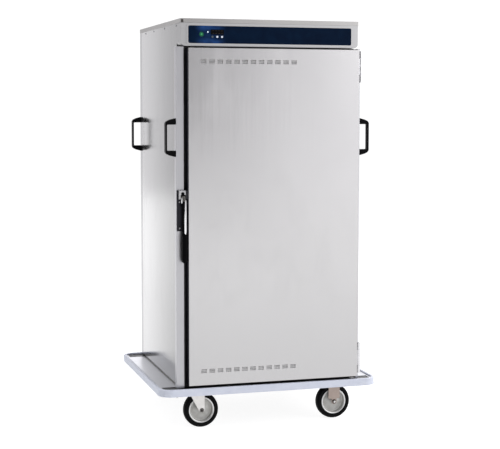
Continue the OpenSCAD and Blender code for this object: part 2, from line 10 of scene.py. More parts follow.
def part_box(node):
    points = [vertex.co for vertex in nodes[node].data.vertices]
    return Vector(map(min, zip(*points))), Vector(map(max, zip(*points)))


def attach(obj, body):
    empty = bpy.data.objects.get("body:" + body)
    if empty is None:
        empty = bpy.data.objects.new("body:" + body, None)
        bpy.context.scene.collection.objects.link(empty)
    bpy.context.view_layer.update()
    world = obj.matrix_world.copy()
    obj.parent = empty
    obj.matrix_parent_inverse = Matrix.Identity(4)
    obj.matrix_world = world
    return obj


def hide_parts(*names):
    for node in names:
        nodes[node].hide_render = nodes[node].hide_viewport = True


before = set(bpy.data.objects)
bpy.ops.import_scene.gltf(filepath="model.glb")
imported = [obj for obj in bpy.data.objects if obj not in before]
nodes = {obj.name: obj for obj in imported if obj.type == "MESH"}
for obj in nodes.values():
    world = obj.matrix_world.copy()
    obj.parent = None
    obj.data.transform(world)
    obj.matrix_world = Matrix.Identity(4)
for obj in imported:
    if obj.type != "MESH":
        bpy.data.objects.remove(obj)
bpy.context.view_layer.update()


# ---------------------------------------------------------------- material helpers


class Mat:
    """One Principled material, with short calls for the nodes that feed it."""

    def __init__(self, name, color=None, metallic=0.0, rough=None, **sockets):
        self.m = bpy.data.materials.new(name)
        self.m.use_nodes = True
        self.t = self.m.node_tree
        self.t.nodes.clear()
        out = self.t.nodes.new("ShaderNodeOutputMaterial")
        self.b = self.t.nodes.new("ShaderNodeBsdfPrincipled")
        self.t.links.new(self.b.outputs["BSDF"], out.inputs["Surface"])
        self.set("Metallic", metallic)
        if color is not None:
            self.set("Base Color", (*color, 1))
        if rough is not None:
            self.set("Roughness", rough)
        for key, value in sockets.items():
            self.set(key.replace("_", " "), value)
        self.coords = self.t.nodes.new("ShaderNodeTexCoord").outputs["Object"]

    def set(self, socket, value):
        self.b.inputs[socket].default_value = value

    def link(self, a, b):
        self.t.links.new(a, b)

    def at(self, scale=(1, 1, 1), rot=(0, 0, 0)):
        n = self.t.nodes.new("ShaderNodeMapping")
        n.inputs["Scale"].default_value = scale
        n.inputs["Rotation"].default_value = rot
        self.link(self.coords, n.inputs["Vector"])
        return n.outputs["Vector"]

    def noise(self, scale, detail=3.0, rough=0.5, warp=0.0, rot=(0, 0, 0)):
        n = self.t.nodes.new("ShaderNodeTexNoise")
        n.inputs["Scale"].default_value = 1.0
        n.inputs["Detail"].default_value = detail
        n.inputs["Roughness"].default_value = rough
        n.inputs["Distortion"].default_value = warp
        if isinstance(scale, (int, float)):
            scale = (scale, scale, scale)
        self.link(self.at(scale, rot), n.inputs["Vector"])
        return n.outputs["Fac"]

    def cells(self, scale, feature="F1"):
        n = self.t.nodes.new("ShaderNodeTexVoronoi")
        n.feature = feature
        n.inputs["Scale"].default_value = scale
        self.link(self.coords, n.inputs["Vector"])
        return n.outputs["Distance"]

    def axis(self, name):
        n = self.t.nodes.new("ShaderNodeSeparateXYZ")
        self.link(self.coords, n.inputs[0])
        return n.outputs[name]

    def math(self, op, a, b=0.0, clamp=False):
        n = self.t.nodes.new("ShaderNodeMath")
        n.operation = op
        n.use_clamp = clamp
        for i, v in enumerate((a, b)):
            if isinstance(v, (int, float)):
                n.inputs[i].default_value = v
            else:
                self.link(v, n.inputs[i])
        return n.outputs[0]

    def span(self, value, lo, hi, a=0.0, b=1.0, smooth=True):
        """value from lo to hi becomes a to b."""
        n = self.t.nodes.new("ShaderNodeMapRange")
        n.interpolation_type = "SMOOTHSTEP" if smooth else "LINEAR"
        self.link(value, n.inputs["Value"])
        n.inputs["From Min"].default_value = lo
        n.inputs["From Max"].default_value = hi
        n.inputs["To Min"].default_value = a
        n.inputs["To Max"].default_value = b
        return n.outputs["Result"]

    def ramp(self, value, *stops):
        n = self.t.nodes.new("ShaderNodeValToRGB")
        e = n.color_ramp.elements
        while len(e) < len(stops):
            e.new(0.5)
        for i, (p, c) in enumerate(stops):
            e[i].position = p
            e[i].color = (c, c, c, 1) if isinstance(c, (int, float)) else (*c, 1)
        self.link(value, n.inputs["Fac"])
        return n.outputs["Color"]

    def mix(self, fac, a, b, mode="MIX"):
        n = self.t.nodes.new("ShaderNodeMix")
        n.data_type = "RGBA"
        n.blend_type = mode
        for i, v in ((0, fac), (6, a), (7, b)):
            if isinstance(v, (int, float)):
                n.inputs[i].default_value = v
            elif isinstance(v, tuple):
                n.inputs[i].default_value = (*v, 1)
            else:
                self.link(v, n.inputs[i])
        return n.outputs[2]

    def color(self, socket):
        self.link(socket, self.b.inputs["Base Color"])

    def rough(self, socket):
        self.link(socket, self.b.inputs["Roughness"])

    def bump(self, height, strength, distance):
        n = self.t.nodes.new("ShaderNodeBump")
        n.inputs["Strength"].default_value = strength
        n.inputs["Distance"].default_value = distance
        self.link(height, n.inputs["Height"])
        if self.b.inputs["Normal"].links:
            self.link(self.b.inputs["Normal"].links[0].from_socket, n.inputs["Normal"])
        self.link(n.outputs["Normal"], self.b.inputs["Normal"])


def shade(color, k):
    return tuple(min(1.0, c * k) for c in color)


def brushed(name, color, rough, grain=(900, 900, 9), cloud=0.05, wave=0.0, painted_shade=None):
    """Brushed stainless sheet: fine lines along the least scaled axis, faint clouds and smears."""
    m = Mat(name, metallic=1.0)
    lines = m.noise(grain, detail=2.0, rough=0.6)
    bands = m.noise(tuple(g * 0.12 for g in grain), detail=3.0, rough=0.55)
    clouds = m.noise((2.6, 2.6, 1.9), detail=3.0, rough=0.45, warp=0.4)
    base = m.ramp(bands, (0.3, shade(color, 0.985)), (0.7, shade(color, 1.01)))
    base = m.mix(0.22, base, m.ramp(lines, (0.3, shade(color, 0.93)), (0.7, shade(color, 1.03))))
    base = m.mix(m.span(clouds, 0.35, 0.7, 0.0, cloud * 4), base, shade(color, 0.82))
    # Painted shade: the optional last argument darkens the colour by its factor toward the low end of one axis.
    if painted_shade:
        axis, lo, hi, dark = painted_shade
        base = m.mix(m.span(m.axis(axis), lo, hi), shade(color, dark), base)
    m.color(base)
    smear = m.noise((9, 9, 5), detail=4.0, rough=0.6, warp=0.6)
    r = m.math("ADD", m.span(bands, 0.3, 0.7, rough - 0.012, rough + 0.012),
               m.span(smear, 0.45, 0.75, 0.0, 0.05))
    m.rough(m.math("ADD", r, m.span(lines, 0.3, 0.7, -0.01, 0.01)))
    m.bump(lines, 0.05, 0.00008)
    if wave:
        m.bump(m.noise((1.7, 1.7, 1.3), detail=1.0, rough=0.4), 1.0, wave)
    return m


def painted(name, color, rough, grain=700, peel=0.00012, metallic=0.0, coat=0.0, wear=0.0, spec=0.5):
    """Paint or smooth moulded plastic: orange peel, mottled gloss and a little dust."""
    m = Mat(name, metallic=metallic)
    m.set("Specular IOR Level", spec)
    m.set("Coat Weight", coat)
    m.set("Coat Roughness", 0.12)
    mottled = m.noise(28, detail=4.0, rough=0.55)
    fine = m.noise(grain, detail=2.0)
    base = m.ramp(mottled, (0.3, shade(color, 0.88)), (0.7, shade(color, 1.1)))
    if wear:
        dust = tuple(c * 0.6 + 0.12 for c in color)
        base = m.mix(m.span(m.noise(60, detail=5.0, rough=0.7), 0.55, 0.8, 0.0, wear), base, dust)
    m.color(base)
    m.rough(m.span(mottled, 0.3, 0.7, rough - 0.04, rough + 0.06))
    m.bump(fine, 0.25, peel)
    return m


def plated(name, color, rough, spots=0.3):
    """Bright zinc or chrome plating with faint handling marks."""
    m = Mat(name, metallic=1.0)
    blotch = m.noise(45, detail=4.0, rough=0.6)
    fine = m.noise((420, 420, 420), detail=2.0)
    base = m.ramp(blotch, (0.3, shade(color, 0.9)), (0.7, shade(color, 1.03)))
    m.color(m.mix(m.span(fine, 0.5, 0.8, 0.0, spots * 0.5), base, shade(color, 0.75)))
    m.rough(m.span(blotch, 0.35, 0.7, rough, rough + 0.08))
    m.bump(fine, 0.08, 0.0001)
    return m


def assign(material, *names):
    for name in names:
        slots = nodes[name].data.materials
        slots.clear()
        slots.append(material.m)


# ---------------------------------------------------------------- materials

# Painted shade: the door's colour darkens toward its bottom, standing for the darker reflection there.
door_steel = brushed("door_steel", (0.585, 0.58, 0.585), 0.195, wave=0.0012, painted_shade=("Z", 0.15, 1.0, 0.92))
# Painted shade: the side panels' colour falls to 0.44 of its value toward their front edge, standing for the darker
# reflection there.
panel_steel = brushed("panel_steel", (0.70, 0.70, 0.705), 0.17, wave=0.0008,
                      painted_shade=("Y", -0.42, 0.50, 0.44))
housing_steel = brushed("housing_steel", (0.43, 0.43, 0.435), 0.42, grain=(9, 900, 900))
cap_steel = brushed("cap_steel", (0.405, 0.398, 0.392), 0.34, grain=(9, 900, 900))
post_steel = brushed("post_steel", (0.50, 0.50, 0.52), 0.30)
# Painted shade: the deck's underside is coloured near black, so the hubs below reflect a dark deck.
deck_steel = brushed("deck_steel", (0.61, 0.62, 0.65), 0.34, grain=(900, 9, 900), painted_shade=("Z", 0.1822, 0.1832, 0.08))
liner_steel = brushed("liner_steel", (0.70, 0.705, 0.715), 0.32, grain=(700, 700, 10))
louvre = painted("louvre", (0.62, 0.62, 0.63), 0.5)
back_steel = brushed("back_steel", (0.56, 0.56, 0.57), 0.30, wave=0.0008)
wrap_steel = brushed("wrap_steel", (0.72, 0.72, 0.725), 0.20)

black_rail = painted("black_rail", (0.018, 0.018, 0.021), 0.42, wear=0.25)
frame_grey = painted("frame_grey", (0.16, 0.16, 0.17), 0.45, wear=0.2)
handle_black = painted("handle_black", (0.0025, 0.0025, 0.003), 0.38, grain=1500, spec=0.05)
grip_black = painted("grip_black", (0.0015, 0.0015, 0.002), 0.45, grain=1800, spec=0.04)
strike_black = painted("strike_black", (0.022, 0.022, 0.030), 0.38, spec=0.20)
gland_black = painted("gland_black", (0.022, 0.022, 0.024), 0.45)
chrome = plated("chrome", (0.83, 0.83, 0.84), 0.09)
hinge_steel = plated("hinge_steel", (0.74, 0.74, 0.755), 0.22)
fastener = plated("fastener", (0.62, 0.62, 0.64), 0.28)
zinc = plated("zinc", (0.79, 0.775, 0.76), 0.34, spots=0.5)
# A darker, warmer copy of the zinc for the rigid forks: painted shade for the bumper's shadow over them.
zinc_shaded = plated("zinc_shaded", (0.41, 0.34, 0.305), 0.42, spots=0.6)
nickel = plated("nickel", (0.36, 0.36, 0.37), 0.24)
nut_dark = plated("nut_dark", (0.10, 0.095, 0.09), 0.42)
rack_wire = plated("rack_wire", (0.76, 0.765, 0.775), 0.20)

# The latch head's plated face turns near black over its end toward the door.
head_finish = Mat("latch_head_finish", metallic=0.9, rough=0.26)
_b = head_finish.ramp(head_finish.noise(60, detail=4.0), (0.3, (0.40, 0.40, 0.41)), (0.7, (0.50, 0.50, 0.51)))
head_finish.color(head_finish.mix(head_finish.span(head_finish.axis("X"), -0.3725, -0.3715), _b, (0.03, 0.03, 0.034)))
head_finish.rough(head_finish.span(head_finish.noise(90, detail=3.0), 0.3, 0.7, 0.22, 0.34))

hub_rim = plated("hub_rim", (0.74, 0.74, 0.735), 0.30, spots=0.4)
hub_cast = Mat("hub_cast", metallic=0.30)
_b = hub_cast.noise(36, detail=5.0, rough=0.6)
_cast = hub_cast.ramp(_b, (0.3, (0.42, 0.41, 0.385)), (0.72, (0.60, 0.60, 0.585)))
hub_cast.color(_cast)
hub_cast.rough(hub_cast.span(_b, 0.3, 0.7, 0.34, 0.46))
hub_cast.bump(hub_cast.noise(520, detail=3.0), 0.35, 0.0003)

tyre = Mat("tyre", Specular_IOR_Level=0.08)
_b = tyre.noise(24, detail=5.0, rough=0.65)
_dust = tyre.span(tyre.noise(90, detail=5.0, rough=0.7), 0.5, 0.8, 0.0, 0.35)
tyre.color(tyre.mix(_dust, tyre.ramp(_b, (0.3, (0.002, 0.002, 0.0025)), (0.7, (0.005, 0.005, 0.0055))),
                    (0.011, 0.0105, 0.010)))
tyre.rough(tyre.span(_b, 0.3, 0.7, 0.48, 0.66))
tyre.bump(tyre.noise(900, detail=2.0), 0.3, 0.0003)

vinyl = Mat("bumper_vinyl", Subsurface_Weight=0.0)
_b = vinyl.noise((14, 14, 30), detail=5.0, rough=0.6)
_s = vinyl.noise((45, 45, 260), detail=4.0, rough=0.65)
_v = vinyl.ramp(_b, (0.3, (0.57, 0.605, 0.71)), (0.7, (0.65, 0.68, 0.77)))
vinyl.color(vinyl.mix(vinyl.span(_s, 0.58, 0.78, 0.0, 0.35), _v, (0.38, 0.41, 0.50)))
vinyl.rough(vinyl.span(_b, 0.3, 0.7, 0.36, 0.48))
vinyl.bump(vinyl.noise(650, detail=2.0), 0.2, 0.0002)

# The seal's lip next to the door skin is painted light grey: a painted highlight for the lit door edge.
seal = Mat("seal", Specular_IOR_Level=0.2)
_b = seal.ramp(seal.noise(28, detail=4.0), (0.3, (0.010, 0.010, 0.016)), (0.7, (0.016, 0.016, 0.024)))
_lip_highlight = seal.span(seal.axis("Y"), -0.4125, -0.4035, 1.0, 0.0)
seal.color(seal.mix(_lip_highlight, _b, (0.105, 0.108, 0.115)))
seal.rough(seal.span(seal.noise(28, detail=4.0), 0.3, 0.7, 0.46, 0.56))
seal.bump(seal.noise(900, detail=2.0), 0.25, 0.00012)

navy = Mat("navy_overlay", Specular_IOR_Level=0.04)
_x = navy.axis("X")
_glow = navy.math("MULTIPLY", navy.span(_x, -0.335, -0.295), navy.span(_x, -0.19, -0.25))
_cloud = navy.noise((30, 30, 60), detail=3.0, rough=0.6)
_glow = navy.math("MULTIPLY", _glow, navy.span(_cloud, 0.3, 0.7, 0.45, 1.0))
_off = navy.math("ABSOLUTE", navy.math("SUBTRACT", navy.axis("Z"), 1.6695))
_glow = navy.math("MULTIPLY", _glow, navy.span(_off, 0.010, 0.030, 0.30, 1.0))
_n = navy.ramp(navy.noise(22, detail=4.0), (0.3, (0.0003, 0.0050, 0.019)), (0.7, (0.0008, 0.0085, 0.027)))
navy.color(navy.mix(_glow, _n, (0.014, 0.050, 0.17)))
navy.rough(navy.span(navy.noise(14, detail=5.0), 0.3, 0.7, 0.36, 0.46))
navy.bump(navy.noise(2200, detail=2.0), 0.12, 0.0001)

display_black = Mat("display_black", Specular_IOR_Level=0.06)
_b = display_black.noise(80, detail=3.0)
display_black.color(display_black.ramp(_b, (0.3, (0.0015, 0.0018, 0.0025)), (0.7, (0.003, 0.0035, 0.005))))
display_black.rough(display_black.span(_b, 0.3, 0.7, 0.10, 0.20))

green = Mat("green_lens", Specular_IOR_Level=0.2)
_b = green.noise(260, detail=2.0)
_dx = green.math("ADD", green.axis("X"), 0.302)
_dz = green.math("SUBTRACT", green.axis("Z"), 1.6705)
_r = green.math("SQRT", green.math("ADD", green.math("MULTIPLY", _dx, _dx), green.math("MULTIPLY", _dz, _dz)))
_core = green.ramp(green.span(_r, 0.0, 0.010), (0.10, (0.07, 0.30, 0.14)), (0.45, (0.012, 0.15, 0.05)),
                   (0.80, (0.006, 0.09, 0.035)), (0.90, (0.002, 0.02, 0.03)))
green.color(green.mix(green.span(_b, 0.3, 0.7, 0.0, 0.35), _core, (0.01, 0.10, 0.04)))
green.rough(green.span(_b, 0.3, 0.7, 0.22, 0.35))
green.set("Emission Color", (0.03, 0.55, 0.25, 1))
green.set("Emission Strength", 0.04)

key_white = painted("key_white", (0.72, 0.78, 0.86), 0.34, grain=1600)
key_dim = painted("key_dim", (0.055, 0.075, 0.085), 0.4, grain=1600)
led_white = Mat("led_white", rough=0.3)
led_white.color(led_white.ramp(led_white.noise(500), (0.3, (0.72, 0.85, 0.95)), (0.7, (0.9, 0.97, 1.0))))
led_white.set("Emission Color", (0.75, 0.9, 1.0, 1))
led_white.set("Emission Strength", 0.8)

board = Mat("board")
_b = board.cells(260)
board.color(board.ramp(_b, (0.15, (0.02, 0.20, 0.09)), (0.5, (0.01, 0.10, 0.05))))
board.rough(board.span(_b, 0.1, 0.5, 0.3, 0.5))

wool = Mat("wool")
_b = wool.noise((420, 70, 420), detail=5.0, rough=0.7, warp=1.5)
wool.color(wool.ramp(_b, (0.3, (0.62, 0.52, 0.24)), (0.7, (0.88, 0.80, 0.50))))
wool.set("Roughness", 0.95)
wool.set("Sheen Weight", 0.3)
wool.bump(_b, 0.8, 0.003)

cable = painted("cable", (0.42, 0.09, 0.045), 0.55)

# ---------------------------------------------------------------- CAD nodes

assign(panel_steel, "side_panel_left", "side_panel_right")
assign(back_steel, "back_panel", "bottom_panel")
assign(cap_steel, "top_cap")
assign(housing_steel, "control_housing", "service_cover")
assign(post_steel, "door_posts")
assign(door_steel, "door_skin")
assign(liner_steel, "liner_wrap", "liner_ends", "door_liner", "vent_slide_top", "vent_slide_bottom")
assign(deck_steel, "deck_plate")
assign(frame_grey, "caster_channels")
assign(black_rail, "base_rails", "throat_frame")
assign(vinyl, "bumper")
assign(fastener, "body_screws")
assign(strike_black, "strike_plate")
assign(gland_black, "cord_gland")
assign(board, "control_board")
assign(navy, "control_panel")
assign(display_black, "display_window")
assign(handle_black, "handles_left", "handles_right")
assign(hinge_steel, "hinge_leaves", "hinge_straps", "hinge_pins")
assign(head_finish, "latch_head")
assign(nickel, "latch_pin")
assign(chrome, "latch_lever")
assign(grip_black, "latch_grip")
assign(zinc_shaded, "rigid_forks")
assign(zinc, "caster_plates", "fl_fork", "rl_fork", "fl_brake", "rl_brake")
assign(rack_wire, "side_racks", "shelf_1", "shelf_2", "shelf_3")
assign(seal, "door_gasket")
assign(wool, "insulation", "door_insulation")
assign(cable, "heating_cable")
assign(green, "power_button")
assign(key_dim, "set_button")
assign(key_white, "up_button", "down_button")
for w in ("fl", "rl", "fr", "rr"):
    assign(tyre, w + "_tyre")
    assign(hub_cast, w + "_hub")


def finish_edges(name, width, segments=2, angle=35):
    """Softens a CAD node's sharp edges, as sheet and castings have in life."""
    o = nodes[name]
    weld = o.modifiers.new("weld", "WELD")
    weld.merge_threshold = 1e-5
    bevel = o.modifiers.new("bevel", "BEVEL")
    bevel.width = width
    bevel.segments = segments
    bevel.limit_method = "ANGLE"
    bevel.angle_limit = math.radians(angle)
    bevel.use_clamp_overlap = True
    bevel.harden_normals = False
    normals = o.modifiers.new("normals", "WEIGHTED_NORMAL")
    normals.keep_sharp = False
    normals.weight = 80


finish_edges("door_posts", 0.0008)
finish_edges("bumper", 0.0040, 4)
finish_edges("strike_plate", 0.0008)
finish_edges("latch_head", 0.0012, 3)
finish_edges("latch_lever", 0.0016, 3)
finish_edges("latch_grip", 0.0040, 4)
finish_edges("handles_left", 0.0035, 4)
finish_edges("handles_right", 0.0035, 4)
finish_edges("hinge_leaves", 0.0006)
finish_edges("hinge_straps", 0.0006)
for name in ("power_button", "set_button", "up_button", "down_button"):
    finish_edges(name, 0.0006, 3)
for w in ("fl", "rl", "fr", "rr"):
    finish_edges(w + "_hub", 0.0010)
for name in ("fl_fork", "rl_fork", "rigid_forks", "fl_brake", "rl_brake"):
    finish_edges(name, 0.0008)


# ---------------------------------------------------------------- detail pieces


def piece(name, bm, material, body, smooth=True):
    mesh = bpy.data.meshes.new(name)
    bm.normal_update()
    bm.to_mesh(mesh)
    bm.free()
    for p in mesh.polygons:
        p.use_smooth = smooth
    mesh.materials.append(material.m)
    o = bpy.data.objects.new(name, mesh)
    bpy.context.scene.collection.objects.link(o)
    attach(o, body)
    return o


def dome_screw(bm, at, out, r=0.004, h=0.0018, slot=True):
    """A low domed screw head with a cross recess; out is the way it faces."""
    out = Vector(out).normalized()
    side = out.orthogonal().normalized()
    up = out.cross(side)
    profile = [(r, 0.0), (r * 0.98, h * 0.35), (r * 0.85, h * 0.72), (r * 0.6, h * 0.95), (r * 0.42, h)]
    n = 20
    rings = []
    for pr, ph in profile:
        rings.append([bm.verts.new(Vector(at) + out * ph + (side * math.cos(a) + up * math.sin(a)) * pr)
                      for a in [2 * math.pi * i / n for i in range(n)]])
    for a, b in zip(rings, rings[1:]):
        for i in range(n):
            bm.faces.new((a[i], a[(i + 1) % n], b[(i + 1) % n], b[i]))
    arm, deep = r * 0.34, h * 0.55
    inner = []
    for i in range(n):
        a = 2 * math.pi * i / n
        k = 1.0 if abs(math.cos(2 * a)) > 0.6 else 0.45
        inner.append(bm.verts.new(Vector(at) + out * (h - deep) + (side * math.cos(a) + up * math.sin(a)) * arm * k))
    top = rings[-1]
    for i in range(n):
        bm.faces.new((top[i], top[(i + 1) % n], inner[(i + 1) % n], inner[i]))
    bm.faces.new(inner)


def loft(bm, rings, caps=True):
    """Skins closed rings of points, first to last."""
    made = [[bm.verts.new(p) for p in ring] for ring in rings]
    n = len(made[0])
    for a, b in zip(made, made[1:]):
        for i in range(n):
            bm.faces.new((a[i], a[(i + 1) % n], b[(i + 1) % n], b[i]))
    if caps:
        bm.faces.new(list(reversed(made[0])))
        bm.faces.new(made[-1])


def lathe_y(bm, profile, at, n=64, closed=False):
    """Turns (radius, y) points round an axis along Y through at. A closed profile makes a ring."""
    made = []
    for k in range(n):
        a = 2 * math.pi * k / n
        made.append([bm.verts.new((at[0] + r * math.cos(a), at[1] + y, at[2] + r * math.sin(a)))
                     for r, y in profile])
    m = len(profile)
    for k in range(n):
        a, b = made[k], made[(k + 1) % n]
        for j in range(m if closed else m - 1):
            q = (j + 1) % m
            bm.faces.new((a[j], a[q], b[q], b[j]))
    if not closed:
        for j in (0, m - 1):
            if profile[j][0] > 1e-6:
                bm.faces.new([ring[j] for ring in made])


def tidy(bm, merge=1e-6):
    bmesh.ops.remove_doubles(bm, verts=bm.verts, dist=merge)
    bmesh.ops.recalc_face_normals(bm, faces=bm.faces)


def round_box(cx, cy, hx, hy, power=4.0, n=32):
    """Points of a rounded rectangle round (cx, cy)."""
    out = []
    for k in range(n):
        a = 2 * math.pi * k / n
        c, q = math.cos(a), math.sin(a)
        out.append((cx + hx * math.copysign(abs(c) ** (2 / power), c),
                    cy + hy * math.copysign(abs(q) ** (2 / power), q)))
    return out


def wheel_bodies():
    """Each wheel's centre from its tyre, with the bodies of its wheel and its fork."""
    for w, side, fork in (("fl", "front_left", "front_left_swivel"), ("rl", "rear_left", "rear_left_swivel"),
                          ("fr", "front_right", "cabinet"), ("rr", "rear_right", "cabinet")):
        lo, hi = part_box(w + "_tyre")
        yield w, side + "_wheel", fork, (lo + hi) / 2, (hi.y - lo.y) / 2


mm = 0.001
for w, wheel, fork, c, half in wheel_bodies():
    # Tyre: crowned tread, bead line on each side wall, fine mould ring.
    side_wall = [(56.3, 17.4), (57.1, 18.8), (59.8, 19.0), (61.4, 18.5), (63.0, 19.0), (66.8, 18.9),
                 (70.2, 17.9), (72.8, 15.9), (74.6, 13.0), (75.5, 9.5), (75.9, 5.0), (76.0, 0.6)]
    prof = side_wall + [(r, -y) for r, y in reversed(side_wall)]
    bm = bmesh.new()
    lathe_y(bm, [(r * mm, y * mm) for r, y in prof], c, 96, closed=True)
    tidy(bm)
    o = piece(w + "_tyre_detail", bm, tyre, wheel)
    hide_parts(w + "_tyre")
    # Hub: a rolled rim round a smooth web that bulges toward the axle.
    web = [(6.2, 20.4), (12.4, 20.4), (13.6, 19.4), (14.6, 17.0), (16.0, 15.6), (40.0, 4.0),
           (43.0, 3.2), (45.5, 3.3), (47.4, 4.6), (48.6, 7.4), (49.1, 11.0)]
    rim = [(49.1, 11.0), (49.7, 16.4), (50.9, 18.2), (55.1, 18.2), (56.1, 17.0)]
    for half_hub, suffix, finish in ((web, "_hub_detail", hub_cast), (rim, "_rim_detail", hub_rim)):
        prof = half_hub + [(r, -y) for r, y in reversed(half_hub)]
        bm = bmesh.new()
        lathe_y(bm, [(r * mm, y * mm) for r, y in prof], c, 72, closed=True)
        tidy(bm)
        o = piece(w + suffix, bm, finish, wheel)
        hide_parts(w + "_hub")
    # Axle ends: a dark collar on each side with a domed nut.
    for s in (-1, 1):
        y0 = 0.0256
        bm = bmesh.new()
        collar = [(4.0, 0.0), (9.0, 0.0), (9.3, 0.8), (8.7, 1.5), (7.4, 1.9), (7.1, 4.4), (6.5, 5.3), (4.0, 5.4)]
        lathe_y(bm, [(r * mm, s * (y0 + y * mm)) for r, y in collar], c, 32, closed=True)
        tidy(bm)
        piece(w + ("_collar_a" if s < 0 else "_collar_b"), bm, nut_dark, fork)
        bm = bmesh.new()
        nut = [(5.2, 4.6), (5.2, 5.8), (4.4, 6.7), (2.6, 7.3), (0.0, 7.5)]
        lathe_y(bm, [(r * mm, s * (y0 + y * mm)) for r, y in nut], c, 24)
        tidy(bm)
        piece(w + ("_nut_a" if s < 0 else "_nut_b"), bm, nut_dark if w in ("fl", "rl") else zinc, fork)

# Latch lever: a black bowed bar with a bright strip along it, under a round barrel on the pin.
pin_lo, pin_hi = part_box("latch_pin")
pin_y, pin_z = (pin_lo.y + pin_hi.y) / 2, (pin_lo.z + pin_hi.z) / 2


def lever_bar(bm, mid, stations, front, back, dome):
    rings = []
    for z, hx in stations:
        bow = 0.0016 * math.sin(min(1.0, max(0.0, (pin_z - z) / 0.2)) * math.pi)
        ring = [Vector((mid + hx * mm * math.cos(math.pi * j / 16),
                        pin_y - front - bow - dome * math.sin(math.pi * j / 16) ** 0.75, z)) for j in range(17)]
        ring.append(Vector((mid - hx * mm, pin_y - back - bow, z)))
        ring.append(Vector((mid + hx * mm, pin_y - back - bow, z)))
        rings.append(ring)
    loft(bm, rings)


bm = bmesh.new()
lever_bar(bm, -0.378, [(pin_z - 0.013, 8.4), (pin_z - 0.020, 9.4), (pin_z - 0.034, 9.8), (0.90, 9.7),
                       (0.87, 9.5), (0.852, 9.0), (0.80, 6.0)], 0.0012, 0.0003, 0.0040)
tidy(bm)
o = piece("latch_lever_core", bm, grip_black, "latch")
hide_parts("latch_lever")
bm = bmesh.new()
lever_bar(bm, -0.3727, [(pin_z - 0.0125, 2.0), (pin_z - 0.0140, 3.6), (pin_z - 0.020, 4.4), (0.90, 4.9), (0.86, 4.8),
                        (0.846, 4.4), (0.8410, 3.2), (0.8395, 1.6)], 0.0038, 0.0012, 0.0034)
tidy(bm)
o = piece("latch_lever_strip", bm, chrome, "latch")
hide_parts("latch_lever")
bm = bmesh.new()
rings = []
for x, r in ((-0.3935, 6.6), (-0.3927, 7.4), (-0.3733, 7.4), (-0.3725, 6.6)):
    rings.append([Vector((x, pin_y + r * mm * math.cos(2 * math.pi * i / 28),
                          pin_z + r * mm * math.sin(2 * math.pi * i / 28))) for i in range(28)])
loft(bm, rings)
loft(bm, [[Vector((x, y, z)) for x, y in round_box(-0.378, pin_y - 0.0036, hx, 0.0034, 3.0, 20)]
          for z, hx in ((pin_z - 0.004, 0.0082), (pin_z - 0.012, 0.0084), (pin_z - 0.018, 0.0086))])
tidy(bm)
o = piece("latch_lever_barrel", bm, nut_dark, "latch")
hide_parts("latch_lever")
bm = bmesh.new()
loft(bm, [[Vector((x, y, z)) for x, y in round_box(-0.3884, pin_y - 0.0068, hx, 0.0010, 3.0, 20)]
          for z, hx in ((0.9935, 0.0010), (0.9925, 0.0019), (0.985, 0.0021), (0.972, 0.0017), (0.9705, 0.0008))])
tidy(bm)
o = piece("latch_lever_tongue", bm, chrome, "latch")
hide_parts("latch_lever")

# Latch grip: a moulded sleeve, round in section at its lower end.
g_lo, g_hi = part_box("latch_grip")
gx, gy = (g_lo.x + g_hi.x) / 2, (g_lo.y + g_hi.y) / 2
hx, hy = (g_hi.x - g_lo.x) / 2, (g_hi.y - g_lo.y) / 2
bm = bmesh.new()
rings = []
top, end = g_hi.z - 0.012, g_lo.z + 0.005
for z, k, power in ((top, 0.80, 3.2), (top - 0.0015, 0.90, 3.4), (top - 0.006, 0.94, 3.6),
                    (top - 0.03, 0.96, 3.4), (top - 0.06, 0.99, 3.0), (end + 0.035, 1.0, 2.8),
                    (end + 0.018, 0.97, 2.6), (end + 0.010, 0.89, 2.4), (end + 0.0045, 0.74, 2.2),
                    (end + 0.0014, 0.50, 2.0), (end + 0.0002, 0.22, 2.0)):
    rings.append([Vector((x, y, z)) for x, y in round_box(gx, gy, hx * k, hy * k, power, 36)])
loft(bm, rings)
tidy(bm)
o = piece("latch_grip_sleeve", bm, grip_black, "latch")
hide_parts("latch_grip")

# Pivot plug on the latch head, and screws that hold the strike plate.
h_lo, h_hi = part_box("latch_head")
bm = bmesh.new()
lathe_y(bm, [(7.2 * mm, 0.0), (7.2 * mm, -0.0008), (6.2 * mm, -0.0013), (3.8 * mm, -0.0009), (0.0, -0.0006)],
        (-0.3845, h_lo.y, 1.0105), 28)
tidy(bm)
piece("latch_pivot_plug", bm, grip_black, "door")
s_lo, s_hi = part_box("strike_plate")
bm = bmesh.new()
for z in (s_lo.z + 0.012, s_lo.z + 0.122):
    dome_screw(bm, (s_lo.x + 0.012, -0.398, z), (0, -1, 0), 0.0036, 0.0015)
tidy(bm)
piece("strike_screws", bm, fastener, "cabinet")

# The folded tab seen inside the cap's corner notch, coloured dark as painted shade in the notch.
c_lo, c_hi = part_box("top_cap")
bm = bmesh.new()
loft(bm, [[Vector((x, y, z)) for x, y in round_box(c_lo.x + 0.0080, c_lo.y + 0.0040, 0.0056, 0.0006, 6.0, 16)]
          for z in (c_lo.z + 0.0015, c_lo.z + 0.0030, c_hi.z - 0.0040, c_hi.z - 0.0025)])
tidy(bm)
piece("cap_fold_tab", bm, nut_dark, "cabinet", smooth=False)

# Rolled seams where the back panel wraps round onto the side panels.
b_lo, b_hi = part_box("back_panel")
bm = bmesh.new()
for s in (-1, 1):
    loft(bm, [[Vector((s * x, y, z)) for x, y in ((b_hi.x - 0.0016, 0.3400), (b_hi.x + 0.00005, 0.3560),
                                                  (b_hi.x + 0.00005, 0.3740), (b_hi.x - 0.0016, 0.3760))]
              for z in (b_lo.z + 0.001, 0.7, 1.2, 1.7165)])
tidy(bm)
piece("corner_seams", bm, wrap_steel, "cabinet", smooth=False)

